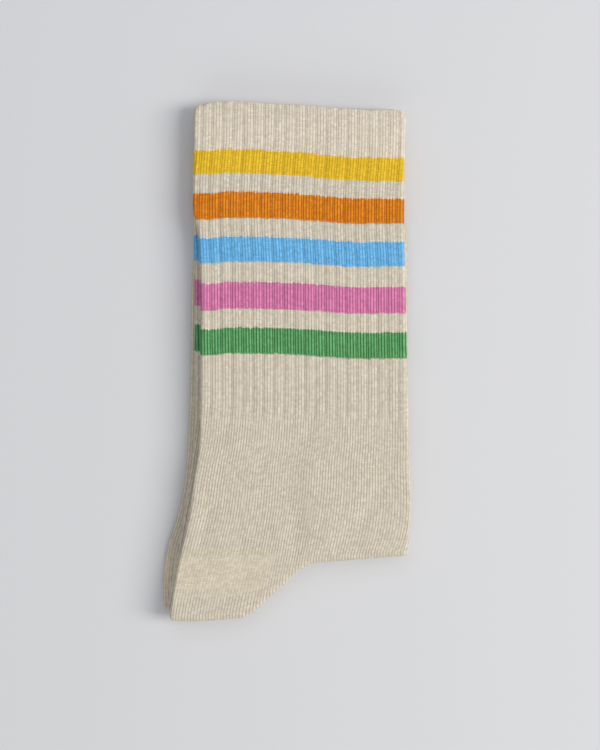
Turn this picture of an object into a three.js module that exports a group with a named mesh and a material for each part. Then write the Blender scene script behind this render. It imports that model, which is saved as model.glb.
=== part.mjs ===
// A pair of ribbed crew socks, each folded in half at its heel, one laid on the other.
// Each sock is a knitted tube pressed flat: the leg lies on top, the cloth turns over at the heel
// and the foot lies behind the leg, with its toe under the cuff.
// Millimetres. X runs across the socks, Y towards the cuffs, Z up from the surface they lie on.
import * as THREE from "three";

// Driving sizes of the cloth
const PLY = 1.25; // one thickness of the knit
const LAYER = 2 * PLY; // the tube pressed flat
const AIR = 0.3; // between two layers
const RIB_RISE = 0.45; // how far a rib stands over its grooves
const RIBS_ACROSS = 19.17; // ribs on one side of the flat leg
const FIRST_GROOVE = 0.84; // first groove, in rib widths from the back edge of the leg
const GROOVE_SHOULDER = 0.2; // where the rib reaches its full height, in rib widths from a groove

// The mouth of the cuff, from the bottom of the slit between its two plies out to the round rim:
// how far in from the rim's course, and half the space between the plies there.
const MOUTH_ROWS = [
  { inward: 12, halfGap: 0.1 },
  { inward: 1, halfGap: 0.3 },
  { inward: -0.7, halfGap: 0.8 },
];

// Past the toes the legs begin to sink towards the surface, and the cuffs end part of the way down.
const SINK_FROM = 94;
const SINK_TO = 134;

// How finely the surfaces are divided
const PLAIN_COLUMNS = 18;
const EDGE_STEPS = 4;
const TURN_STEPS = 6;
const SOLE_STEPS = 4;
const LEG_STEP = 22;
const SINK_STEP = 5;

// Heights of the underside of each layer: over the feet ("high") and with no foot beneath it ("low").
const UNDER_FOOT = { high: 0, low: 0 };
const UNDER_LEG = { high: LAYER + AIR, low: 0 };
const RIBBED_LAYER = LAYER + RIB_RISE + AIR;
const TOP_FOOT = { high: UNDER_LEG.high + RIBBED_LAYER, low: RIBBED_LAYER };
const TOP_LEG = { high: TOP_FOOT.high + LAYER + AIR, low: RIBBED_LAYER };

// Each leg row is one knitted course, from the cuff's rim to the end of the rib:
// back edge [x, y], front edge [x, y], and how strongly the ribs stand there.
// Each ankle row is a place along the plain knit, from the end of the rib (0) to the heel fold (1).
// The fold line lists x and y along the outside of the turn, from the back edge to the front edge.
// Each foot row runs back up: y, back edge x, front edge x and the thickness left, as a share.
// Each crease is a soft trough pressed into the leg between two places, or a ridge if its depth is
// below zero.
const CREASE_TAPER = 0.15;
const TOP_SOCK = {
  name: "sock_top",
  colour: "#ded2bb",
  leg: TOP_LEG,
  foot: TOP_FOOT,
  legRows: [
    { back: [-38.2, 108.2], front: [49.6, 104.4], rib: 0.3 },
    { back: [-38.8, 105.6], front: [50.0, 101.8], rib: 0.6 },
    { back: [-38.6, 98.4], front: [50.0, 94.8], rib: 0.8 },
    { back: [-38.4, 88.3], front: [49.5, 85.0], rib: 1 },
    { back: [-38.8, 70.1], front: [49.5, 67.7], rib: 1 },
    { back: [-38.3, 61.4], front: [49.5, 59.2], rib: 1 },
    { back: [-36.6, 51.8], front: [49.5, 49.6], rib: 1 },
    { back: [-35.8, 32.5], front: [50.0, 30.8], rib: 1 },
    { back: [-35.8, 2.1], front: [50.6, 0.4], rib: 1 },
    { back: [-36.2, -20.0], front: [51.3, -21.8], rib: 0.8 },
    { back: [-36.4, -27.6], front: [51.5, -29.3], rib: 0 },
  ],
  ankleRows: [
    { along: 0.12, back: -36.9, front: 51.8 },
    { along: 0.26, back: -38.5, front: 52.0 },
    { along: 0.4, back: -39.9, front: 52.3 },
    { along: 0.54, back: -41.9, front: 52.5 },
    { along: 0.68, back: -44.4, front: 52.4 },
    { along: 0.82, back: -46.6, front: 52.1 },
    { along: 1, back: -48.7, front: 51.2 },
  ],
  foldLine: [
    [-48.9, -109.4],
    [-42, -109.9],
    [-24.5, -109],
    [-17.3, -108],
    [-14, -105.8],
    [7.1, -87.1],
    [11.5, -85.2],
    [26, -84],
    [51.2, -82.2],
  ],
  footRows: [
    { y: -27, back: -34.9, front: 51.8, thick: 1 },
    { y: 6, back: -34.4, front: 51.4, thick: 1 },
    { y: 38, back: -34.2, front: 51.5, thick: 1 },
    { y: 52, back: -32.6, front: 51.4, thick: 1 },
    { y: 62, back: -29.6, front: 49.4, thick: 1 },
    { y: 73, back: -24, front: 45, thick: 1 },
    { y: 83, back: -16, front: 38.5, thick: 0.92 },
    { y: 91, back: -6, front: 30, thick: 0.75 },
    { y: 97, back: 5, front: 20, thick: 0.4 },
  ],
  creases: [
    { from: [47.9, 97], to: [42.4, 61], width: 3, depth: 0.45 },
    { from: [10.1, -22], to: [2.9, -52], width: 5, depth: 0.4 },
    { from: [2.9, -52], to: [4, -84], width: 4, depth: 0.5 },
    { from: [27, -74], to: [39, -56], width: 4, depth: 0.55 },
    { from: [14, -78], to: [22, -67], width: 4, depth: -0.35 },
    { from: [-12, -86], to: [-27, -98], width: 6, depth: 0.45 },
    { from: [-35, -74], to: [-31, -59], width: 3.5, depth: 0.5 },
  ],
};

const UNDER_SOCK = {
  name: "sock_under",
  colour: "#d8ccb5",
  leg: UNDER_LEG,
  foot: UNDER_FOOT,
  legRows: [
    { back: [-38.3, 108.0], front: [46.2, 106.3], rib: 0.3 },
    { back: [-38.9, 105.6], front: [47.4, 103.6], rib: 0.6 },
    { back: [-38.8, 90.4], front: [47.6, 87.4], rib: 1 },
    { back: [-39.1, 62.1], front: [47.6, 60.0], rib: 1 },
    { back: [-39.0, 42.9], front: [47.8, 41.2], rib: 1 },
    { back: [-38.7, 3.9], front: [48.4, 2.2], rib: 1 },
    { back: [-38.9, -18.0], front: [48.8, -19.6], rib: 0.8 },
    { back: [-39.3, -25.6], front: [49.0, -27.3], rib: 0 },
  ],
  ankleRows: [
    { along: 0.15, back: -39.8, front: 49.4 },
    { along: 0.35, back: -41.6, front: 49.8 },
    { along: 0.55, back: -44.1, front: 50.0 },
    { along: 0.78, back: -47.6, front: 49.6 },
    { along: 1, back: -50.3, front: 48.8 },
  ],
  foldLine: [
    [-50.6, -105.8],
    [-44, -106.2],
    [-26.5, -105.2],
    [-19.3, -104],
    [-16, -101.6],
    [5.1, -83.2],
    [9.5, -81.3],
    [24, -80],
    [48.8, -78.6],
  ],
  footRows: [
    { y: -68, back: -47.2, front: 47.6, thick: 1 },
    { y: -44, back: -42.7, front: 46.4, thick: 1 },
    { y: -22, back: -41.4, front: 46.0, thick: 1 },
    { y: 30, back: -40.5, front: 45.8, thick: 1 },
    { y: 46, back: -39.4, front: 45.6, thick: 1 },
    { y: 58, back: -36, front: 44.6, thick: 1 },
    { y: 69, back: -30.5, front: 42, thick: 1 },
    { y: 79, back: -22.5, front: 36.5, thick: 0.96 },
    { y: 88, back: -12, front: 28, thick: 0.8 },
    { y: 94.5, back: -1, front: 18, thick: 0.45 },
  ],
  creases: [],
};

const lerp = (a, b, t) => a + (b - a) * t;

// 1 over the feet, falling smoothly past the toes
function held(y) {
  const t = THREE.MathUtils.clamp((y - SINK_FROM) / (SINK_TO - SINK_FROM), 0, 1);
  return (1 + Math.cos(Math.PI * t)) / 2;
}

const undersideAt = (layer, y) => lerp(layer.low, layer.high, held(y));

// The leg rows with more set between them, closest where the leg sinks
function closeRows(rows) {
  const close = [rows[0]];
  for (let i = 1; i < rows.length; i += 1) {
    const [from, to] = [rows[i - 1], rows[i]];
    const sinking = from.back[1] > SINK_FROM - SINK_STEP && to.back[1] < SINK_TO;
    const count = Math.ceil((from.back[1] - to.back[1]) / (sinking ? SINK_STEP : LEG_STEP));
    for (let step = 1; step <= count; step += 1) {
      const t = step / count;
      const back = from.back.map((value, axis) => lerp(value, to.back[axis], t));
      const front = from.front.map((value, axis) => lerp(value, to.front[axis], t));
      close.push({ back, front, rib: lerp(from.rib, to.rib, t) });
    }
  }
  return close;
}

// Height of a broken line of [x, y] points at x
function lineAt(line, x) {
  const next = line.findIndex(([px]) => px > x);
  if (next === 0) return line[0][1];
  if (next < 0) return line[line.length - 1][1];
  const [x0, y0] = line[next - 1];
  const [x1, y1] = line[next];
  return lerp(y0, y1, (x - x0) / (x1 - x0));
}

// How far the creases press the cloth down at a place, deepest halfway along each crease
function creaseDepth(creases, x, y) {
  let depth = 0;
  for (const crease of creases) {
    const from = new THREE.Vector2(...crease.from);
    const run = new THREE.Vector2(...crease.to).sub(from);
    const offset = new THREE.Vector2(x, y).sub(from);
    const along = THREE.MathUtils.clamp(offset.dot(run) / run.lengthSq(), 0, 1);
    const away = offset.addScaledVector(run, -along).length() / crease.width;
    const fade = Math.sin(Math.PI * lerp(CREASE_TAPER, 1 - CREASE_TAPER, along));
    depth += crease.depth * fade * Math.exp(-away * away);
  }
  return depth;
}

// Places across the flat tube, 0 at the back edge and 1 at the front edge
const plainColumns = Array.from({ length: PLAIN_COLUMNS + 1 }, (_, i) => i / PLAIN_COLUMNS);

// Three places to a rib: the groove and the two shoulders beside it
function ribColumns() {
  const places = [{ across: 0, high: 1 }];
  for (let groove = FIRST_GROOVE; groove < RIBS_ACROSS; groove += 1) {
    places.push({ across: (groove - GROOVE_SHOULDER) / RIBS_ACROSS, high: 1 });
    places.push({ across: groove / RIBS_ACROSS, high: 0 });
    places.push({ across: (groove + GROOVE_SHOULDER) / RIBS_ACROSS, high: 1 });
  }
  places.push({ across: 1, high: 1 });
  return places.filter(({ across }) => across >= 0 && across <= 1);
}

// One ring round the flat tube. Each point has its place across, its side (1 is the outside of the
// fold, -1 the inside), how far it lies beyond the flat part, and a key that runs once round the ring.
function ring(outerPlaces) {
  const points = outerPlaces.map(({ across, high }) => ({ across, side: 1, beyond: 0, high, key: across }));
  const edge = (across, key, way) => {
    for (let step = 1; step < EDGE_STEPS; step += 1) {
      const turn = step / EDGE_STEPS;
      const side = way * Math.cos(Math.PI * turn);
      points.push({ across, side, beyond: Math.sin(Math.PI * turn), high: 0, key: key + turn });
    }
  };
  edge(1, 1, 1);
  for (const across of [...plainColumns].reverse()) {
    points.push({ across, side: -1, beyond: 0, high: 0, key: 3 - across });
  }
  edge(0, 3, -1);
  return points;
}

const plainRing = ring(plainColumns.map((across) => ({ across, high: 0 })));
const ribRing = ring(ribColumns());

// x of a ring point between two edges: the flat part ends one ply inside each edge.
function acrossX(point, backX, frontX, thick = 1) {
  const round = PLY * thick;
  const way = point.across < 0.5 ? -1 : 1;
  return lerp(backX + round, frontX - round, point.across) + way * round * point.beyond;
}

function foldY(sock, x) {
  return lineAt(sock.foldLine, x) + LAYER + AIR / 2;
}

// The sections of one sock, from the cuff's rim round the heel fold to the toe
function sections(sock) {
  const rows = [];

  const legPoint = (point, x, y, rise) => {
    const pressed = point.side === 1 ? creaseDepth(sock.creases, x, y) : 0;
    const middle = undersideAt(sock.leg, y) + PLY;
    return [x, y, middle + point.side * PLY + rise - pressed];
  };

  for (const row of closeRows(sock.legRows)) {
    const points = row.rib > 0 ? ribRing : plainRing;
    rows.push(
      points.map((point) => {
        const x = acrossX(point, row.back[0], row.front[0]);
        const y = lerp(row.back[1], row.front[1], point.across);
        return { key: point.key, at: legPoint(point, x, y, RIB_RISE * row.rib * point.high) };
      }),
    );
  }

  const ribEnd = sock.legRows[sock.legRows.length - 1];
  for (const row of sock.ankleRows) {
    rows.push(
      plainRing.map((point) => {
        const x = acrossX(point, row.back, row.front);
        const start = lerp(ribEnd.back[1], ribEnd.front[1], point.across);
        return { key: point.key, at: legPoint(point, x, lerp(start, foldY(sock, x), row.along), 0) };
      }),
    );
  }

  const heel = sock.ankleRows[sock.ankleRows.length - 1];
  const middleHeight = (sock.leg.high + sock.foot.high + LAYER) / 2;
  const middleRadius = (sock.leg.high - sock.foot.high) / 2;
  for (let step = 1; step < TURN_STEPS; step += 1) {
    const turn = (Math.PI * step) / TURN_STEPS;
    rows.push(
      plainRing.map((point) => {
        const x = acrossX(point, heel.back, heel.front);
        const radius = middleRadius + point.side * PLY;
        const y = foldY(sock, x) - radius * Math.sin(turn);
        return { key: point.key, at: [x, y, middleHeight + radius * Math.cos(turn)] };
      }),
    );
  }

  const footPoint = (point, x, y, thick) => {
    const inner = (1 - point.side) / 2;
    return [x, y, undersideAt(sock.foot, y) + inner * LAYER * thick];
  };

  const first = sock.footRows[0];
  for (let step = SOLE_STEPS; step > 0; step -= 1) {
    const along = step / SOLE_STEPS;
    rows.push(
      plainRing.map((point) => {
        const x = acrossX(point, lerp(first.back, heel.back, along), lerp(first.front, heel.front, along));
        const y = lerp(first.y, foldY(sock, x), along);
        return { key: point.key, at: footPoint(point, x, y, 1) };
      }),
    );
  }
  for (const row of sock.footRows) {
    rows.push(
      plainRing.map((point) => {
        const x = acrossX(point, row.back, row.front, row.thick);
        return { key: point.key, at: footPoint(point, x, row.y, row.thick) };
      }),
    );
  }
  return rows;
}

// The mouth of the cuff: the rim turns in and the two plies part.
function mouth(sock) {
  const rim = sock.legRows[0];
  return MOUTH_ROWS.map(({ inward, halfGap }) =>
    plainRing.map((point) => {
      const inset = PLY - halfGap;
      const x = acrossX(point, rim.back[0] + inset, rim.front[0] - inset, halfGap / PLY);
      const y = lerp(rim.back[1], rim.front[1], point.across) - inward;
      const middle = undersideAt(sock.leg, y) + PLY;
      return { key: point.key, at: [x, y, middle + point.side * halfGap] };
    }),
  );
}

// One closed surface through all the rings, each joined to the next in the order of their keys
function skin(rings) {
  const position = rings.flat().flatMap(({ at }) => at);
  const faces = [];
  let start = 0;
  for (let i = 0; i + 1 < rings.length; i += 1) {
    const here = rings[i];
    const next = rings[i + 1];
    const nextStart = start + here.length;
    let a = 0;
    let b = 0;
    while (a < here.length || b < next.length) {
      const keyA = a + 1 < here.length ? here[a + 1].key : a < here.length ? 4 : Infinity;
      const keyB = b + 1 < next.length ? next[b + 1].key : b < next.length ? 4 : Infinity;
      const pointA = start + (a % here.length);
      const pointB = nextStart + (b % next.length);
      if (keyA <= keyB) {
        faces.push(pointA, pointB, start + ((a + 1) % here.length));
        a += 1;
      } else {
        faces.push(pointA, pointB, nextStart + ((b + 1) % next.length));
        b += 1;
      }
    }
    start = nextStart;
  }
  closeEnd(faces, 0, rings[0].length, false);
  closeEnd(faces, start, rings[rings.length - 1].length, true);
  const geometry = new THREE.BufferGeometry();
  geometry.setAttribute("position", new THREE.Float32BufferAttribute(position, 3));
  geometry.setIndex(faces);
  geometry.computeVertexNormals();
  return geometry;
}

// Closes a ring by a strip between its upper and its lower side
function closeEnd(faces, start, count, last) {
  let a = 0;
  let b = count - 1;
  while (a + 1 < b) {
    const upper = [start + a, start + a + 1, start + b];
    faces.push(...(last ? upper.reverse() : upper));
    a += 1;
    if (a + 1 < b) {
      const lower = [start + a, start + b - 1, start + b];
      faces.push(...(last ? lower.reverse() : lower));
    }
    b -= 1;
  }
}

function makeSock(sock) {
  const cloth = new THREE.MeshStandardMaterial({ color: sock.colour, roughness: 0.95, metalness: 0 });
  const mesh = new THREE.Mesh(skin([...mouth(sock), ...sections(sock)]), cloth);
  mesh.name = sock.name;
  return mesh;
}

const pair = new THREE.Group();
pair.name = "pair_of_socks";
pair.add(makeSock(TOP_SOCK), makeSock(UNDER_SOCK));

// The origin is the middle of the pair's footprint, on the surface it lies on.
const footprint = new THREE.Box3().setFromObject(pair);
const middle = footprint.getCenter(new THREE.Vector3());
pair.position.set(-middle.x, -middle.y, -footprint.min.z);

export default pair;
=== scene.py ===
import math
from dataclasses import dataclass

import bpy
import numpy as np
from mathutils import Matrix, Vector


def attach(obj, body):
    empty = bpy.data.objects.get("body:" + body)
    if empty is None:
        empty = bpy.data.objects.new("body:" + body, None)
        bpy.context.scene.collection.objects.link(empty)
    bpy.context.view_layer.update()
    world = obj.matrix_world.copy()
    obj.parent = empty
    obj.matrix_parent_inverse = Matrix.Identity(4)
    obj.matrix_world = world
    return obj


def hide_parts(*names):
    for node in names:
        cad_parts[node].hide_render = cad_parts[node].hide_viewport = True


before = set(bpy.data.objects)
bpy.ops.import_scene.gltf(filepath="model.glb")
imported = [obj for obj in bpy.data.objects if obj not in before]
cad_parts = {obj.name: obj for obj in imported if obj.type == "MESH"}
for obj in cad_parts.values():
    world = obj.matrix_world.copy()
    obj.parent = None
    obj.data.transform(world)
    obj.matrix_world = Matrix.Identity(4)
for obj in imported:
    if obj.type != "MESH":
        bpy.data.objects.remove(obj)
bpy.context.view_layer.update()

MM = 0.001
FOOTPRINT_MIDDLE = (1.1, -0.5)  # middle of the pair's footprint in the tables below

# Cloth
PLY = 1.25  # one thickness of the knit
LAYER = 2 * PLY  # the tube pressed flat
AIR = 0.3  # between two layers
LUMEN = 0.12  # half the space inside the flat tube
MOUTH = 0.3  # half the space at the cuff's mouth
MOUTH_LENGTH = 12  # how far in the mouth is open
WALE_RISE = 0.22  # how far a wale stands over the valleys beside it
COURSE = 0.76  # length of one stitch along the sock

# Rib: three knit wales and one sunk wale, which the others half hide
RIB_RISE = 0.45
RIBS_ACROSS = 19.17  # on one side of the flat leg
FIRST_GROOVE = 0.84  # in rib widths from the back edge of the leg
WALES_PER_RIB = 4
WALES_ACROSS = RIBS_ACROSS * WALES_PER_RIB
WALES_ROUND = 160
RIB_GATHER = 0.2  # how far the knit wales reach over the sunk one from each side, in wales
GROOVE_DEPTH = 0.6  # how deep the grooves lie, as a share of the ribs' rise
GROOVE_POWER = 1.5  # one for soft waves, more for narrow grooves
FIRST_WALE = 0.5 - FIRST_GROOVE * WALES_PER_RIB  # wale number at the back edge; wale 0 to 1 is sunk

# The ribs run straight down the leg, in the places that they have across it at this y.
# They shift a little to the left of that, against the knit length.
STRAIGHT_AT = 10
RIB_SHIFT = [
    (0, 0.0), (14, 0.15), (36, 1.5), (48, 1.65), (70, 0.8), (90, 0.7), (112, 0.45), (124, 0.5),
    (134, 1.0), (148, 2.0),
]

# Lengths of knit from the rim: cuff, five stripes with a space after each, and the end of the rib
CUFF_LENGTH = 19.7
STRIPE_LENGTH = 10.7
STRIPE_SPACE = 7.95
RIB_END = 133.0

# Heights of the layers; past the toes the legs begin to sink towards the surface
SINK_FROM = 94
SINK_TO = 134
UNDER_LEG_HIGH = LAYER + AIR
RIBBED_LAYER = LAYER + RIB_RISE + AIR
TOP_FOOT_HIGH = UNDER_LEG_HIGH + RIBBED_LAYER
TOP_LEG_HIGH = TOP_FOOT_HIGH + LAYER + AIR
FOOT_STRAIGHT = -60  # from this y to the toe the foot's rows lie straight across

# How finely the surfaces are divided
POINTS_PER_WALE = 4
INNER_COLUMNS = 60
EDGE_STEPS = 12
TURN_STEPS = 10
LUMEN_EVERY = 8  # rows of the outside for one row of the lumen
LIP_STEPS = 4
TOE_STEP = 1.5

# Each sock has the height of its leg's and foot's undersides (sunk, before sinking), its courses
# (knit length, y at the back edge, y at the front edge), the edges of leg and foot (y, x), its fold
# line (x, y), the toe's thickness (y, share) and its creases.
# A crease is a soft trough, or a ridge where its depth is negative: x, y, x, y, width, depth.
TOP_SOCK = {
    "name": "sock_top",
    "slot": "knit_top",
    "leg": (RIBBED_LAYER, TOP_LEG_HIGH),
    "foot": (RIBBED_LAYER, TOP_FOOT_HIGH),
    "courses": [
        (0, 108.4, 104.8),
        (19.7, 88.3, 85.0),
        (30.4, 78.2, 75.1),
        (38.35, 70.2, 67.9),
        (49.05, 59.5, 57.7),
        (57.0, 51.6, 50.0),
        (67.7, 40.9, 39.6),
        (75.65, 32.4, 31.1),
        (86.35, 21.0, 19.9),
        (94.3, 13.1, 11.9),
        (105.0, 2.1, 0.8),
        (133.0, -26.0, -27.7),
    ],
    "leg_back": [
        (108.2, -37.6), (105.0, -38.7), (98.4, -38.6), (88.3, -38.4), (71.5, -38.8), (65.6, -38.8),
        (61.4, -38.3), (55.9, -37.3), (50.9, -36.6), (41.6, -36.2), (31.9, -35.8), (13.0, -35.8),
        (-4.0, -36.0), (-16.4, -36.1), (-26.5, -36.3), (-33.2, -36.5), (-38.7, -37.0), (-43.7, -37.8),
        (-49.2, -38.7), (-59.7, -40.0), (-65.2, -40.9), (-70.7, -42.1), (-79.1, -44.0), (-84.5, -45.2),
        (-90.8, -46.5), (-97.1, -47.6), (-102.6, -48.4), (-107.0, -48.9),
    ],
    "leg_front": [
        (104.4, 49.3), (101.5, 50.1), (98.8, 50.0), (89.1, 49.5), (74.8, 49.5), (49.6, 49.5),
        (41.2, 49.7), (29.4, 50.0), (17.6, 50.3), (0.8, 50.7), (-21.5, 51.3), (-34.1, 51.8),
        (-47.1, 52.1), (-61.0, 52.5), (-70.7, 52.2), (-79.5, 51.4),
    ],
    "fold_line": [
        (-48.9, -109.4), (-42.0, -109.9), (-32.0, -109.5), (-24.5, -109.0), (-18.5, -108.4),
        (-15.2, -106.8), (-4.3, -97.2), (3.0, -90.8), (7.1, -87.5), (11.0, -85.6), (26.0, -84.1),
        (40.0, -83.0), (51.2, -82.2),
    ],
    "foot_back": [
        (-106, -48.9), (-90, -46.0), (-60, -39.0), (-27, -34.9), (6, -34.4), (38, -34.2), (52, -32.6),
        (62, -29.6), (73, -24.0), (83, -16.0), (91, -6.0), (97, 5.0),
    ],
    "foot_front": [
        (-79, 51.2), (-60, 51.9), (-27, 51.8), (6, 51.4), (38, 51.5), (52, 51.4), (62, 49.4),
        (73, 45.0), (83, 38.5), (91, 30.0), (97, 20.0),
    ],
    "toe": [(73, 1.0), (83, 0.92), (91, 0.75), (97, 0.4)],
    "creases": [
        (47.9, 97, 44.6, 84, 2.2, 0.5),
        (44.6, 84, 42.4, 60, 2.6, 0.4),
        (10.1, -20, 5.9, -38, 5.0, 0.3),
        (5.9, -38, 2.9, -54, 4.0, 0.4),
        (2.9, -54, 4.5, -84, 3.5, 0.5),
        (26.9, -75, 39.0, -56, 3.5, 0.6),
        (39.0, -56, 43.0, -42, 4.0, 0.3),
        (14.0, -78, 22.0, -67, 3.5, -0.35),
        (-12.0, -86, -27.0, -98, 5.5, 0.45),
        (-35.0, -74, -30.7, -59, 3.0, 0.5),
        (-38.5, -70, -41.5, -78, 2.2, -0.3),
        (-28.3, 72, -28.0, 4, 0.9, 0.22),
        (-26.4, 66, -26.2, 10, 1.2, -0.12),
    ],
    "sole_creases": [
        (-20.0, -60, -6.0, -38, 4.0, 0.5),
        (28.0, -52, 12.0, -30, 3.0, 0.35),
        (-14.0, 14, 8.0, 20, 3.5, 0.3),
        (36.0, 30, 30.0, 58, 3.0, 0.4),
    ],
    "leg_step": 1.6,
    "ankle_rows": 38,
    "foot_step": 4.0,
    "seed": 7,
}
UNDER_SOCK = {
    "name": "sock_under",
    "slot": "knit_under",
    "leg": (0.0, UNDER_LEG_HIGH),
    "foot": (0.0, 0.0),
    "courses": [
        (0, 108.2, 106.4),
        (19.7, 89.6, 87.4),
        (38.35, 72.0, 70.0),
        (57.0, 53.6, 52.0),
        (67.7, 42.6, 41.2),
        (94.3, 15.3, 13.9),
        (105.0, 4.0, 2.6),
        (133.0, -24.6, -26.3),
    ],
    "leg_back": [
        (108.2, -38.0), (104.0, -38.9), (89.7, -38.7), (72.7, -39.0), (62.1, -39.2), (42.9, -39.1),
        (32.3, -38.7), (21.7, -38.6), (3.9, -38.8), (-20.8, -38.8), (-33.5, -39.5), (-44.1, -40.4),
        (-55.2, -42.1), (-63.7, -43.4), (-72.2, -44.6), (-79.4, -45.7), (-87.4, -47.7), (-95.5, -49.1),
        (-103.5, -50.4),
    ],
    "leg_front": [
        (106.4, 46.3), (102.5, 47.5), (87.4, 47.6), (60.0, 47.6), (41.2, 47.8), (2.2, 48.4),
        (-19.6, 48.8), (-40.0, 49.4), (-60.0, 50.0), (-76.0, 49.0),
    ],
    "fold_line": [
        (-51.6, -106.2), (-44.0, -106.2), (-34.0, -105.8), (-26.5, -105.2), (-20.5, -104.5),
        (-17.2, -102.9), (-6.3, -93.3), (1.0, -86.9), (5.1, -83.6), (9.0, -81.7), (24.0, -80.3),
        (38.0, -79.3), (48.8, -78.6),
    ],
    "foot_back": [
        (-104.1, -52.3), (-96.0, -52.5), (-87.9, -51.9), (-82.3, -51.2), (-76.8, -49.9),
        (-71.6, -48.2), (-66.1, -46.4), (-60.5, -45.0), (-49.9, -43.3), (-34.5, -42.0), (-21.7, -41.4),
        (-4.2, -40.9), (13.3, -40.8), (32.5, -40.5), (46.0, -39.4), (58.0, -36.0), (69.0, -30.5),
        (79.0, -22.5), (88.0, -12.0), (94.5, -1.0),
    ],
    "foot_front": [
        (-75.0, 48.8), (-60.0, 47.8), (-22.0, 46.0), (30.0, 45.8), (46.0, 45.6), (58.0, 44.6),
        (69.0, 42.0), (79.0, 36.5), (88.0, 28.0), (94.5, 18.0),
    ],
    "toe": [(69, 1.0), (79, 0.96), (88, 0.8), (94.5, 0.45)],
    "creases": [
        (30.0, 62, 24.0, 30, 4.0, 0.3),
        (6.0, -34, 0.0, -76, 4.0, 0.4),
        (24.0, -70, 36.0, -52, 3.5, 0.45),
        (-30.0, -92, -16.0, -80, 5.0, 0.4),
    ],
    "sole_creases": [
        (-24.0, -70, -8.0, -50, 4.0, 0.5),
        (4.0, -76, 20.0, -56, 3.0, 0.4),
        (-30.0, -12, -6.0, -6, 3.5, 0.3),
        (12.0, 8, 38.0, 16, 4.0, 0.35),
        (-22.0, 44, -8.0, 66, 3.0, 0.4),
    ],
    "leg_step": 2.4,
    "ankle_rows": 22,
    "foot_step": 4.0,
    "seed": 23,
}

# How far the courses bow towards the cuff, against the place across the leg
COURSE_LIFT = [
    (0.0, 0.0), (0.045, 0.0), (0.085, 0.45), (0.13, 0.95), (0.23, 1.05), (0.43, 0.95), (0.53, 0.6),
    (0.62, 0.15), (0.72, -0.35), (0.82, -0.45), (0.92, -0.12), (1.0, 0.0),
]

# The rim's corner at the back edge is round: how far it drops, and over how much knit
CORNER_DROP = [(0.0, 1.3), (0.015, 0.6), (0.035, 0.05), (0.07, -0.2), (0.15, -0.35), (0.3, 0.0)]
CORNER_LENGTH = 9

# Towards the heel the wales drift round the tube, against the place across the leg; they do so
# evenly at the back edge, and more and more suddenly towards the front edge.
DRIFT_FROM = 145  # knit length
HEEL_DRIFT = [(0.0, 2.8), (0.15, 3.2), (0.3, 3.4), (0.45, 1.8), (0.6, 1.2), (0.75, 1.8), (0.9, 2.5), (1.0, 2.7)]
DRIFT_POWER = (1.0, 4.5)  # at the back edge and at the front edge

# The heel pocket shows between these y, up to a line that runs down and to the left
HEEL_TOP = -81.5
HEEL_BOTTOM = -96.5
HEEL_SIDE = (-4.5, -83.0)
HEEL_SIDE_SLOPE = 0.45

# Colours of the yarn
CREAM = (0.73, 0.65, 0.52, 0)
CUFF_CREAM = (0.80, 0.705, 0.565, 0)
STRIPES = [  # the fourth value is how much more painted shade the valleys get than in the cream
    (0.88, 0.56, 0.027, 0.1),
    (0.80, 0.255, 0.01, 0.5),
    (0.17, 0.50, 0.84, 0.05),
    (0.77, 0.24, 0.46, 0.45),
    (0.145, 0.43, 0.16, 1),
]
DEEPENING = 0.9  # how much stronger the yarn's colour gets where it is painted darker, mostly by painted shade in the knit's hollows
FLOOR = (0.735, 0.735, 0.745, 1)

# The camera is straight above the pair.
CAMERA_PLACE = (5.85, -5.9, 600)
CAMERA_LENS = 67.3
SENSOR_HEIGHT = 36


def smoothstep(low, high, at):
    t = np.clip((at - low) / (high - low), 0, 1)
    return t * t * (3 - 2 * t)


def curve_through(table, at):
    """Smooth curve through a table of (place, value), with no overshoot between its rows."""
    places = np.array([row[0] for row in table], float)
    values = np.array([row[1] for row in table], float)
    if places[0] > places[-1]:
        places, values = places[::-1], values[::-1]
    slopes = np.diff(values) / np.diff(places)
    turning = slopes[:-1] * slopes[1:] <= 0
    tangents = np.empty_like(values)
    tangents[0], tangents[-1] = slopes[0], slopes[-1]
    total = np.where(turning, 1, slopes[:-1] + slopes[1:])
    tangents[1:-1] = np.where(turning, 0, 2 * slopes[:-1] * slopes[1:] / total)
    at = np.clip(at, places[0], places[-1])
    i = np.clip(np.searchsorted(places, at) - 1, 0, len(places) - 2)
    width = places[i + 1] - places[i]
    t = (at - places[i]) / width
    ends = values[i] * (1 + 2 * t) * (1 - t) ** 2 + values[i + 1] * t * t * (3 - 2 * t)
    return ends + width * t * (1 - t) * (tangents[i] * (1 - t) - tangents[i + 1] * t)


def soft_noise(x, y, seed):
    """Noise from -1 to 1 that changes smoothly over a distance of one."""
    size = 64
    lattice = np.random.default_rng(seed).uniform(-1, 1, (size, size))
    x0, y0 = np.floor(x).astype(int), np.floor(y).astype(int)
    tx, ty = smoothstep(0, 1, x - x0), smoothstep(0, 1, y - y0)
    x0, y0, x1, y1 = x0 % size, y0 % size, (x0 + 1) % size, (y0 + 1) % size
    near = lattice[x0, y0] * (1 - tx) + lattice[x1, y0] * tx
    far = lattice[x0, y1] * (1 - tx) + lattice[x1, y1] * tx
    return near * (1 - ty) + far * ty


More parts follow.
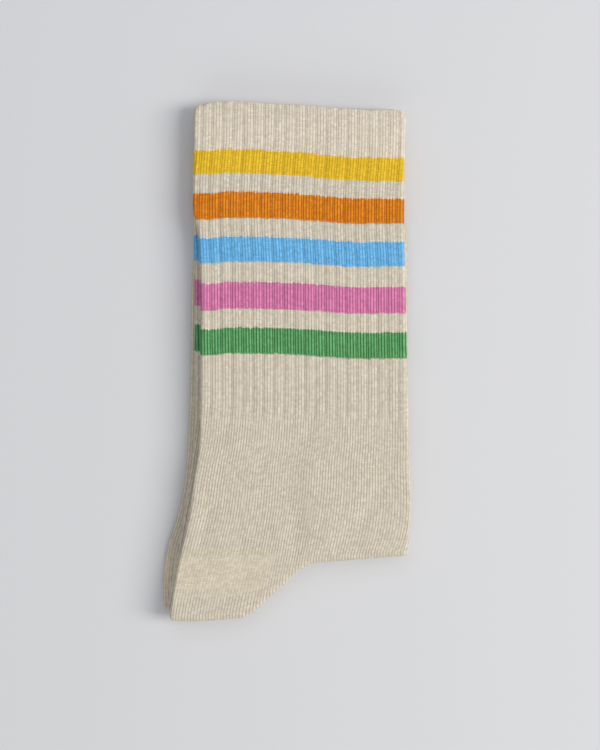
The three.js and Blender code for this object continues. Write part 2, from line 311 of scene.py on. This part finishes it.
# The ring of points round the tube has four parts: 0 is the side that lies outside in the fold,
# 1 the front edge, 2 the side inside the fold and 3 the back edge.
def ring_places():
    """Part, share of the way along the part, and wale number of every point of the ring."""
    last_wale = FIRST_WALE + WALES_ACROSS
    step = 1 / POINTS_PER_WALE
    between = np.arange(math.ceil(FIRST_WALE / step), math.ceil(last_wale / step)) * step
    wales = np.concatenate([[FIRST_WALE], between, [last_wale]])
    outer = (wales - FIRST_WALE) / WALES_ACROSS
    edge = np.arange(1, EDGE_STEPS) / EDGE_STEPS
    inner = np.linspace(0, 1, INNER_COLUMNS + 1)
    shares = [outer, edge, inner, edge]
    part = np.concatenate([np.full(len(share), i) for i, share in enumerate(shares)])
    share = np.concatenate(shares)
    edge_wales = WALES_ROUND / 2 - WALES_ACROSS
    lengths = np.array([WALES_ACROSS, edge_wales, WALES_ACROSS, edge_wales])
    starts = np.cumsum(lengths) - lengths
    return part, share, FIRST_WALE + starts[part] + share * lengths[part]


PART, SHARE, WALE = ring_places()
ACROSS = np.choose(PART, [SHARE, 1.0, 1 - SHARE, 0.0])


@dataclass
class Row:
    """One ring of the tube. x, y and z follow the middle of its layer, and the fold turns it."""

    x: np.ndarray
    normal_x: np.ndarray
    normal_z: np.ndarray
    y: np.ndarray
    z: np.ndarray
    knit: np.ndarray
    press: np.ndarray
    turned: float = 0.0
    thick: float = 1.0


def flat_tube(back, front, drift, knit, thick=1.0):
    """The ring's x, and which way it faces, on a flat tube between two edges.

    drift moves the points round the tube. In the rib the knit wales crowd over the sunk one."""
    edge = PLY * thick
    flat = front - back - 2 * edge
    lengths = np.array([flat, math.pi * edge, flat, math.pi * edge])
    starts = np.cumsum(lengths) - lengths
    ribbed = 1 - smoothstep(RIB_END - 6, RIB_END + 6, knit)
    crowd = np.interp(WALE % WALES_PER_RIB, [0, 1, WALES_PER_RIB], [RIB_GATHER, -RIB_GATHER, RIB_GATHER])
    moved = crowd * ribbed * flat / WALES_ACROSS - drift
    way = (starts[PART] + SHARE * lengths[PART] + moved) % lengths.sum()
    part = np.searchsorted(starts[1:], way, side="right")
    angle = (way - starts[part]) / edge
    x = np.choose(part, [back + edge + way, front - edge, front - edge - (way - starts[2]), back + edge])
    normal_x = np.choose(part, [0.0, np.sin(angle), 0.0, -np.sin(angle)])
    normal_z = np.choose(part, [1.0, np.cos(angle), -1.0, -np.cos(angle)])
    return x, normal_x, normal_z


def underside_at(layer, y):
    """Height of a layer's underside, which sinks over the toes."""
    low, high = layer
    t = np.clip((y - SINK_FROM) / (SINK_TO - SINK_FROM), 0, 1)
    return low + (high - low) * (1 + np.cos(np.pi * t)) / 2


def crease_depth(creases, x, y):
    depth = np.zeros_like(x)
    for x0, y0, x1, y1, width, most in creases:
        run_x, run_y = x1 - x0, y1 - y0
        along = np.clip(((x - x0) * run_x + (y - y0) * run_y) / (run_x**2 + run_y**2), 0, 1)
        away = np.hypot(x - x0 - along * run_x, y - y0 - along * run_y) / width
        depth += most * np.sin(np.pi * (0.15 + 0.7 * along)) * np.exp(-away * away)
    return depth


def unevenness(x, y, seed):
    wide = 0.16 * soft_noise(x / 13, y / 30, seed)
    return wide + 0.1 * soft_noise(x / 5, y / 17, seed + 1)


def groove_at(wale, knit, seed):
    """1 in the sunk wale between two ribs, falling softly to 0 in the middle of the ribs."""
    wander = 0.14 * soft_noise(np.round((wale - 0.5) / WALES_PER_RIB), knit / 9, seed)
    place = (wale - 0.5 + wander) / WALES_PER_RIB
    return (0.5 + 0.5 * np.cos(2 * np.pi * place)) ** GROOVE_POWER


def relief(knit, heel, seed):
    """How far the knit stands out from its plain face, and how deep in a groove it is."""
    wale = WALE + 0.12 * soft_noise(WALE / 3, knit / 14, seed)
    crest = np.abs(np.sin(np.pi * wale)) ** 0.8
    strength = (1 + 0.25 * soft_noise(np.floor(wale), knit / 6, seed + 1)) * (1 - 0.45 * heel)
    ribbed = 1 - smoothstep(RIB_END - 5, RIB_END + 1, knit)
    cuff = 0.75 + 0.25 * smoothstep(6, 20, knit)
    groove = groove_at(wale, knit, seed + 2) * ribbed
    uneven = 1 + 0.25 * soft_noise(np.round((wale - 0.5) / WALES_PER_RIB), knit / 22, seed + 3)
    rib = RIB_RISE * cuff * ribbed * (1 - GROOVE_DEPTH * uneven * groove)
    return rib - WALE_RISE * strength * (1 - crest), groove * uneven


def rib_drift(sock, back, front, knit):
    """How far the ribs lie round the tube from their natural place, so that they run straight."""
    from_back = back - float(curve_through(sock["leg_back"], STRAIGHT_AT))
    from_front = front - float(curve_through(sock["leg_front"], STRAIGHT_AT))
    moved = from_back + (from_front - from_back) * ACROSS
    ribbed = 1 - smoothstep(RIB_END - 15, RIB_END + 15, knit)
    return moved * ribbed + curve_through(RIB_SHIFT, knit)


def heel_drift(knit, heel_knit):
    """How far the wales have moved round the tube towards the heel."""
    along = np.clip((knit - DRIFT_FROM) / (heel_knit - DRIFT_FROM), 0, 1)
    at_back, at_front = DRIFT_POWER
    return curve_through(HEEL_DRIFT, ACROSS) * along ** (at_back + (at_front - at_back) * ACROSS)


def make_rows(sock):
    """The outside of the tube, row by row from the rim down the leg, round the fold and to the toe."""
    seed = sock["seed"]
    courses = sock["courses"]
    back_course = [(knit, back) for knit, back, _ in courses]
    front_course = [(knit, front) for knit, _, front in courses]
    bow = curve_through(COURSE_LIFT, ACROSS)

    end_y = courses[-1][1] + (courses[-1][2] - courses[-1][1]) * ACROSS
    heel_back, heel_front = sock["leg_back"][-1][1], sock["leg_front"][-1][1]
    fold_out = LAYER + AIR / 2
    all_drift = curve_through(HEEL_DRIFT, ACROSS) + RIB_SHIFT[-1][1]
    x, normal_x, _ = flat_tube(heel_back, heel_front, all_drift, RIB_END + LAYER)
    fold_y = curve_through(sock["fold_line"], x + PLY * normal_x) + fold_out
    fold_back = float(curve_through(sock["fold_line"], heel_back)) + fold_out
    fold_front = float(curve_through(sock["fold_line"], heel_front)) + fold_out
    heel_knit = RIB_END + end_y - fold_y
    rows = []

    def leg_row(y, y_back, y_front, knit):
        back = float(curve_through(sock["leg_back"], y_back))
        front = float(curve_through(sock["leg_front"], y_front))
        drift = rib_drift(sock, back, front, knit) + heel_drift(knit, heel_knit)
        x, normal_x, normal_z = flat_tube(back, front, drift, knit)
        press = crease_depth(sock["creases"], x, y) + unevenness(x, y, seed + 10)
        if sock is UNDER_SOCK:
            press = np.maximum(press, 0)
        press = press * smoothstep(0, 7, heel_knit - knit)
        z = underside_at(sock["leg"], y) + PLY
        rows.append(Row(x, normal_x, normal_z, y, z, knit, press))

    for length in np.append(np.arange(0, RIB_END, sock["leg_step"]), RIB_END):
        y_back = float(curve_through(back_course, length))
        y_front = float(curve_through(front_course, length))
        fade = (0.7 + 0.3 * smoothstep(0, 25, length)) * (1 - smoothstep(105, RIB_END, length))
        y = y_back + (y_front - y_back) * ACROSS + bow * fade
        y = y - curve_through(CORNER_DROP, ACROSS) * (1 - smoothstep(0, CORNER_LENGTH, length))
        leg_row(y, y_back, y_front, np.full_like(y, length))
    for along in np.arange(1, sock["ankle_rows"] + 1) / sock["ankle_rows"]:
        y = end_y + (fold_y - end_y) * along
        y_back = courses[-1][1] + (fold_back - courses[-1][1]) * along
        y_front = courses[-1][2] + (fold_front - courses[-1][2]) * along
        leg_row(y, y_back, y_front, RIB_END + end_y - y)

    leg_high, foot_high = sock["leg"][1], sock["foot"][1]
    radius = (leg_high - foot_high) / 2
    middle = (leg_high + foot_high) / 2 + PLY
    foot_back = float(curve_through(sock["foot_back"], fold_back))
    foot_front = float(curve_through(sock["foot_front"], fold_front))
    level = np.zeros_like(ACROSS)
    for along in np.arange(1, TURN_STEPS) / TURN_STEPS:
        angle = math.pi * along
        knit = heel_knit + 2 * radius * angle
        back = heel_back + (foot_back - heel_back) * along
        front = heel_front + (foot_front - heel_front) * along
        tube = flat_tube(back, front, all_drift, knit)
        y = fold_y - radius * math.sin(angle)
        z = level + middle + radius * math.cos(angle)
        rows.append(Row(*tube, y, z, knit, level, angle))

    foot_knit = heel_knit + 2 * radius * math.pi

    def foot_row(y, y_back, y_front):
        back = float(curve_through(sock["foot_back"], y_back))
        front = float(curve_through(sock["foot_front"], y_front))
        thick = float(curve_through(sock["toe"], y_back))
        knit = foot_knit + y - fold_y
        x, normal_x, normal_z = flat_tube(back, front, all_drift, knit, thick)
        press = np.maximum(crease_depth(sock["sole_creases"], x, y) + unevenness(x, y, seed + 20), 0)
        press = press * smoothstep(0, 8, y - fold_y) * thick
        z = underside_at(sock["foot"], y) + PLY * thick
        rows.append(Row(x, normal_x, normal_z, y, z, knit, press, math.pi, thick))

    slanted = math.ceil((FOOT_STRAIGHT - fold_back) / sock["foot_step"])
    for along in np.arange(slanted) / slanted:
        y_back = fold_back + (FOOT_STRAIGHT - fold_back) * along
        y_front = fold_front + (FOOT_STRAIGHT - fold_front) * along
        foot_row(fold_y + (FOOT_STRAIGHT - fold_y) * along, y_back, y_front)
    toe_start, toe_end = sock["toe"][0][0] - 6, sock["toe"][-1][0]
    straight = np.arange(FOOT_STRAIGHT, toe_start, sock["foot_step"])
    toe = np.arange(toe_start, toe_end, TOE_STEP)
    for y in [*straight, *toe, toe_end]:
        foot_row(level + y, y, y)
    return rows


def points_of(row, reach, pressed):
    """Points that lie a reach from the middle of a row's layer."""
    out = reach * row.normal_z - pressed * row.press
    x = row.x + reach * row.normal_x
    return np.stack([x, row.y - out * math.sin(row.turned), row.z + out * math.cos(row.turned)], 1)


def in_heel(x, y):
    """1 in the heel pocket, 0 elsewhere."""
    side = HEEL_SIDE[0] + HEEL_SIDE_SLOPE * (y - HEEL_SIDE[1])
    below = 1 - smoothstep(HEEL_TOP - 0.8, HEEL_TOP + 0.8, y)
    above = smoothstep(HEEL_BOTTOM - 5, HEEL_BOTTOM + 2, y)
    return below * above * (1 - smoothstep(side - 3, side + 3, x)) * (PART == 0)


def outside_reach(row, seed):
    """Distance of the outside from the middle of the layer; what faces another layer is plain."""
    height, groove = relief(row.knit, in_heel(row.x, row.y), seed)
    shown = smoothstep(-0.6, 0.3, row.normal_z)
    return (PLY + height * shown) * row.thick, groove * shown


def inside_reach(row):
    mouth = 1 - smoothstep(0, MOUTH_LENGTH, row.knit)
    return (LUMEN + (MOUTH - LUMEN) * mouth) * row.thick


def make_rings(rows, seed):
    """Rings of the whole skin, from the toe inside the tube to the rim and back to the toe outside."""
    rings, knits, grooves = [], [], []

    def add(points, row, groove):
        rings.append(points)
        knits.append(row.knit)
        grooves.append(groove)

    plain = np.zeros_like(ACROSS)
    inside = [row for i, row in enumerate(rows) if i % LUMEN_EVERY == 0 or 0 < row.turned < math.pi]
    for row in reversed(inside):
        add(points_of(row, inside_reach(row), 0.5), row, plain)
    rim = rows[0]
    outer, groove = outside_reach(rim, seed)
    inner = inside_reach(rim)
    for step in range(1, LIP_STEPS):
        angle = math.pi * step / LIP_STEPS
        reach = (outer + inner) / 2 - (outer - inner) / 2 * math.cos(angle)
        pressed = 0.5 + smoothstep(-0.3, 0.3, rim.normal_z) * 0.5 * step / LIP_STEPS
        points = points_of(rim, reach, pressed)
        points[:, 1] += (outer - inner) / 2 * math.sin(angle)
        add(points, rim, groove)
    for row in rows:
        reach, groove = outside_reach(row, seed)
        add(points_of(row, reach, smoothstep(-0.3, 0.3, row.normal_z)), row, groove)
    return np.array(rings), np.array(knits), np.array(grooves), len(inside)


def close_end(first, flip):
    """Triangles across one end of the tube, between its two sides."""
    middle = EDGE_STEPS // 2 - 1
    front = int(np.flatnonzero(PART == 1)[middle])
    back = int(np.flatnonzero(PART == 3)[middle])
    upper = [*range(back, len(ACROSS)), *range(0, front + 1)]
    lower = list(range(back, front - 1, -1))
    faces = []
    i = j = 0
    while i + 1 < len(upper) or j + 1 < len(lower):
        upper_left, lower_left = len(upper) - 1 - i, len(lower) - 1 - j
        behind = lower_left == 0 or ACROSS[upper[i + 1 if upper_left else i]] <= ACROSS[lower[j + 1]]
        if upper_left and behind and (upper_left > 1 or lower_left == 0):
            corners = (upper[i], upper[i + 1], lower[j])
            i += 1
        else:
            corners = (upper[i], lower[j + 1], lower[j])
            j += 1
        if len(set(corners)) == 3:
            corners = [first + corner for corner in corners]
            faces.append(corners[::-1] if flip else corners)
    return faces


# The bake map has one strip for each stretch of the skin, the widest for the leg, which shows.
BAKE_STRIPS = {"leg": (0.0, 0.72), "foot": (0.73, 0.89), "lumen": (0.90, 0.97), "ends": (0.98, 1.0)}
BAKE_WIDTHS = np.array([0.75, 0.04, 0.17, 0.04])  # shares of a strip for the ring's four parts


def bake_places(rings, lumen_rows):
    """Corners of every quad on the bake map."""
    starts = np.cumsum(BAKE_WIDTHS) - BAKE_WIDTHS
    column = starts[PART] + SHARE * BAKE_WIDTHS[PART]
    next_column = np.append(column[1:], 1.0)
    steps = np.linalg.norm(np.diff(rings, axis=0), axis=2).mean(1)
    turn = lumen_rows + int(np.argmin(rings[lumen_rows:, len(ACROSS) // 4, 1]))
    stretches = {"lumen": (0, lumen_rows), "leg": (lumen_rows, turn), "foot": (turn, len(steps))}
    corners = np.zeros((len(steps), len(ACROSS), 4, 2))
    for name, (start, stop) in stretches.items():
        low, high = BAKE_STRIPS[name]
        along = np.concatenate([[0], np.cumsum(steps[start:stop])])
        along = along / along[-1]
        block = corners[start:stop]
        block[:, :, (0, 3), 0] = along[:-1, None, None]
        block[:, :, (1, 2), 0] = along[1:, None, None]
        block[:, :, (0, 1), 1] = low + (high - low) * column[None, :, None]
        block[:, :, (2, 3), 1] = low + (high - low) * next_column[None, :, None]
    return corners


def knit_places(knits):
    """Corners of every quad in wales and courses."""
    courses, next_courses = knits / COURSE, np.roll(knits, -1, axis=1) / COURSE
    corners = np.zeros((len(knits) - 1, len(ACROSS), 4, 2))
    corners[:, :, :2, 0] = WALE[None, :, None]
    corners[:, :, 2:, 0] = np.append(WALE[1:], FIRST_WALE + WALES_ROUND)[None, :, None]
    corners[:, :, 0, 1], corners[:, :, 1, 1] = courses[:-1], courses[1:]
    corners[:, :, 3, 1], corners[:, :, 2, 1] = next_courses[:-1], next_courses[1:]
    return corners


def end_places(ends):
    """Corners of the triangles that close the ends, on the bake map."""
    corner = np.array(ends).reshape(-1)
    point = corner % len(ACROSS)
    low, high = BAKE_STRIPS["ends"]
    along = ACROSS[point] * 0.48 + np.where(corner < len(ACROSS), 0, 0.5)
    return np.stack([along, np.where(PART[point] == 2, low, high)], 1)


def make_sock(sock, material):
    rings, knits, grooves, lumen_rows = make_rings(make_rows(sock), sock["seed"])
    total, count = len(rings), len(ACROSS)
    here = np.arange(total - 1)[:, None] * count
    column = np.arange(count)[None, :]
    following = (column + 1) % count
    quads = np.stack([here + column, here + count + column, here + count + following, here + following], 2)
    ends = close_end(0, False) + close_end((total - 1) * count, True)
    points = (rings - np.array([*FOOTPRINT_MIDDLE, 0])) * MM
    mesh = bpy.data.meshes.new(sock["name"] + "_knit")
    mesh.from_pydata(points.reshape(-1, 3).tolist(), [], quads.reshape(-1, 4).tolist() + ends)
    for name, of_quads in (("knit", knit_places(knits)), ("OFBake", bake_places(rings, lumen_rows))):
        places = np.concatenate([of_quads.reshape(-1, 2), end_places(ends)])
        mesh.uv_layers.new(name=name).data.foreach_set("uv", places.ravel())
    # groove carries the rib grooves, which the material darkens with painted shade; heel marks the heel pocket
    for name, values in (("groove", grooves), ("heel", in_heel(rings[:, :, 0], rings[:, :, 1]))):
        mesh.attributes.new(name, "FLOAT", "POINT").data.foreach_set("value", values.ravel())
    mesh.polygons.foreach_set("use_smooth", np.ones(len(mesh.polygons), bool))
    mesh.update()
    mesh.materials.append(material)
    piece = bpy.data.objects.new(sock["name"] + "_knit", mesh)
    bpy.context.scene.collection.objects.link(piece)
    return piece


class Nodes:
    """Adds shader nodes to a material and links them."""

    def __init__(self, material):
        self.tree = material.node_tree

    def add(self, kind, **settings):
        node = self.tree.nodes.new(kind)
        for name, value in settings.items():
            setattr(node, name, value)
        return node

    def feed(self, socket, value):
        if isinstance(value, bpy.types.NodeSocket):
            self.tree.links.new(value, socket)
        else:
            socket.default_value = value

    def calc(self, operation, *values):
        node = self.add("ShaderNodeMath", operation=operation)
        for socket, value in zip(node.inputs, values):
            self.feed(socket, value)
        return node.outputs[0]

    def vector(self, x, y):
        node = self.add("ShaderNodeCombineXYZ")
        self.feed(node.inputs["X"], x)
        self.feed(node.inputs["Y"], y)
        return node.outputs[0]

    def attribute(self, name):
        return self.add("ShaderNodeAttribute", attribute_name=name).outputs["Fac"]

    def noise(self, vector, scale, detail):
        """Smooth noise round zero, from about -0.3 to 0.3."""
        node = self.add("ShaderNodeTexNoise")
        node.inputs["Scale"].default_value = scale
        node.inputs["Detail"].default_value = detail
        self.feed(node.inputs["Vector"], vector)
        return self.calc("SUBTRACT", node.outputs["Fac"], 0.5)

    def each(self, x, y):
        """One random value from -0.5 to 0.5 for each whole x and y."""
        node = self.add("ShaderNodeTexWhiteNoise", noise_dimensions="2D")
        self.feed(node.inputs["Vector"], self.vector(self.calc("FLOOR", x), self.calc("FLOOR", y)))
        return self.calc("SUBTRACT", node.outputs["Value"], 0.5)

    def mix(self, blend, share, first, second):
        node = self.add("ShaderNodeMix", data_type="RGBA", blend_type=blend)
        self.feed(node.inputs["Factor"], share)
        self.feed(node.inputs["A"], first)
        self.feed(node.inputs["B"], second)
        return node.outputs["Result"]


def stripe_ramp(nodes, knit):
    """Yarn colour against the knit length, and how much more painted shade its valleys get."""
    period = STRIPE_LENGTH + STRIPE_SPACE
    total = CUFF_LENGTH + len(STRIPES) * period
    ramp = nodes.add("ShaderNodeValToRGB")
    ramp.color_ramp.interpolation = "CONSTANT"
    nodes.feed(ramp.inputs[0], nodes.calc("DIVIDE", knit, total))
    stops = ramp.color_ramp.elements
    stops.remove(stops[1])
    stops[0].color = CUFF_CREAM
    for i, colour in enumerate(STRIPES):
        start = CUFF_LENGTH + i * period
        stops.new(start / total).color = colour
        stops.new((start + STRIPE_LENGTH) / total).color = CREAM
    return ramp.outputs["Color"], ramp.outputs["Alpha"]


def knit_material(name):
    material = bpy.data.materials.new(name)
    material.use_nodes = True
    nodes = Nodes(material)
    shader = material.node_tree.nodes["Principled BSDF"]
    places = nodes.add("ShaderNodeSeparateXYZ")
    nodes.feed(places.inputs[0], nodes.add("ShaderNodeUVMap", uv_map="knit").outputs[0])
    wale, course = places.outputs["X"], places.outputs["Y"]
    position = nodes.add("ShaderNodeNewGeometry").outputs["Position"]
    groove, heel = nodes.attribute("groove"), nodes.attribute("heel")

    # off is 0 in the middle of a wale and 1 in the valleys beside it; a stitch's legs slope to the middle
    centred = nodes.calc("SUBTRACT", nodes.calc("FRACT", wale), 0.5)
    off = nodes.calc("MULTIPLY", nodes.calc("ABSOLUTE", centred), 2)
    sloped = nodes.calc("ADD", course, nodes.calc("MULTIPLY", off, 0.65))
    in_stitch = nodes.calc("FRACT", sloped)
    each_stitch = nodes.each(wale, sloped)
    each_wale = nodes.vector(nodes.calc("FLOOR", wale), nodes.calc("MULTIPLY", course, 0.1))
    each_wale = nodes.noise(each_wale, 3.7, 1)
    fuzz = nodes.noise(position, 1500, 3)

    uneven = nodes.calc("ADD", sloped, nodes.calc("MULTIPLY", each_wale, 2.0))
    uneven = nodes.calc("ADD", uneven, nodes.calc("MULTIPLY", fuzz, 2.0))
    yarn, stripe_valley_shade = stripe_ramp(nodes, nodes.calc("MULTIPLY", uneven, COURSE))

    # Painted shade: the valleys beside each wale, the gaps between stitches and the rib grooves are darkened
    # where shade falls in the knit. It is stronger in the stripes and the plain knit, and weaker in the heel.
    # The stitch, wale, fuzz and cloud terms are random tone of the yarn.
    valley = nodes.calc("POWER", off, 2.2)
    from_middle = nodes.calc("SUBTRACT", nodes.calc("MULTIPLY", in_stitch, 2), 1)
    gap = nodes.calc("POWER", nodes.calc("ABSOLUTE", from_middle), 1.6)
    plain = nodes.calc("GREATER_THAN", course, RIB_END / COURSE)
    valley_shade_depth = nodes.calc("ADD", 0.26, nodes.calc("MULTIPLY", stripe_valley_shade, 0.42))
    valley_shade_depth = nodes.calc("ADD", valley_shade_depth, nodes.calc("MULTIPLY", plain, 0.08))
    valley_shade_depth = nodes.calc("SUBTRACT", valley_shade_depth, nodes.calc("MULTIPLY", heel, 0.21))
    gap_shade_depth = nodes.calc("ADD", 0.25, nodes.calc("MULTIPLY", heel, 0.04))
    shade = 1.16
    for amount, depth in (
        (valley, valley_shade_depth),
        (gap, gap_shade_depth),
        (groove, 0.05),
        (each_stitch, 0.16),
        (each_wale, 0.08),
        (fuzz, 0.22),
        (nodes.noise(position, 55, 2), 0.06),
    ):
        shade = nodes.calc("SUBTRACT", shade, nodes.calc("MULTIPLY", amount, depth))
    # The yarn's colour grows stronger where the painted shade darkens it.
    deepened = nodes.add("ShaderNodeGamma")
    nodes.feed(deepened.inputs["Color"], yarn)
    nodes.feed(deepened.inputs["Gamma"], nodes.calc("SUBTRACT", 1 + DEEPENING, nodes.calc("MULTIPLY", shade, DEEPENING)))
    grey = nodes.add("ShaderNodeCombineColor")
    for socket in grey.inputs[:3]:
        nodes.feed(socket, shade)
    warm = nodes.mix("MIX", heel, (1, 1, 1, 1), (0.99, 0.975, 0.93, 1))
    colour = nodes.mix("MULTIPLY", 1.0, deepened.outputs[0], grey.outputs[0])
    nodes.feed(shader.inputs["Base Color"], nodes.mix("MULTIPLY", 1.0, colour, warm))

    stitch = nodes.calc("SINE", nodes.calc("MULTIPLY", in_stitch, math.pi))
    leg = nodes.calc("SINE", nodes.calc("MULTIPLY", off, math.pi))
    height = nodes.calc("MULTIPLY", stitch, nodes.calc("ADD", 0.5, leg))
    fibre = nodes.calc("MULTIPLY", nodes.noise(position, 2500, 2), 0.8)
    bump = nodes.add("ShaderNodeBump")
    bump.inputs["Strength"].default_value = 0.7
    bump.inputs["Distance"].default_value = 0.00012
    nodes.feed(bump.inputs["Height"], nodes.calc("ADD", height, fibre))
    nodes.feed(shader.inputs["Normal"], bump.outputs[0])
    shader.inputs["Roughness"].default_value = 0.92
    shader.inputs["Specular IOR Level"].default_value = 0.15
    shader.inputs["Sheen Weight"].default_value = 0.12
    shader.inputs["Sheen Roughness"].default_value = 0.6
    return material


def add_sock(sock):
    piece = make_sock(sock, knit_material(sock["slot"]))
    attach(piece, "root")
    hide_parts(sock["name"])
    return piece


def add_camera():
    data = bpy.data.cameras.new("camera")
    data.sensor_fit = "VERTICAL"
    data.sensor_height = SENSOR_HEIGHT
    data.lens = CAMERA_LENS
    camera = bpy.data.objects.new("camera", data)
    camera.location = (Vector(CAMERA_PLACE) - Vector((*FOOTPRINT_MIDDLE, 0))) * MM
    bpy.context.scene.collection.objects.link(camera)
    bpy.context.scene.camera = camera


def add_floor():
    bpy.ops.mesh.primitive_plane_add(size=4, location=(0, 0, -0.0002))
    floor = bpy.context.object
    floor.name = "floor"
    material = bpy.data.materials.new("floor")
    material.use_nodes = True
    shader = material.node_tree.nodes["Principled BSDF"]
    shader.inputs["Base Color"].default_value = FLOOR
    shader.inputs["Roughness"].default_value = 0.8
    shader.inputs["Specular IOR Level"].default_value = 0.2
    floor.data.materials.append(material)


def add_light(name, location, size, power, colour):
    data = bpy.data.lights.new(name, "AREA")
    data.shape = "RECTANGLE"
    data.size, data.size_y = size
    data.energy = power
    data.color = colour
    lamp = bpy.data.objects.new(name, data)
    lamp.location = location
    lamp.rotation_euler = (-Vector(location)).to_track_quat("-Z", "Y").to_euler()
    bpy.context.scene.collection.objects.link(lamp)


def add_lights():
    add_light("window", (1.52, -0.1, 1.42), (0.8, 1.35), 30.5, (1.0, 0.985, 0.96))
    add_light("room", (0, 0.9, 1.6), (1.6, 1.2), 4.5, (0.84, 0.87, 1.0))
    add_light("near_wall", (-0.2, -2.2, 1.3), (2.4, 1.2), 9, (1.0, 0.985, 0.93))
    world = bpy.data.worlds.new("world")
    world.use_nodes = True
    background = world.node_tree.nodes["Background"]
    background.inputs["Color"].default_value = (0.93, 0.96, 1.0, 1)
    background.inputs["Strength"].default_value = 0.355
    bpy.context.scene.world = world


bpy.context.scene.view_settings.view_transform = "Standard"
under = add_sock(UNDER_SOCK)
add_sock(TOP_SOCK)
add_camera()
add_floor()
add_lights()
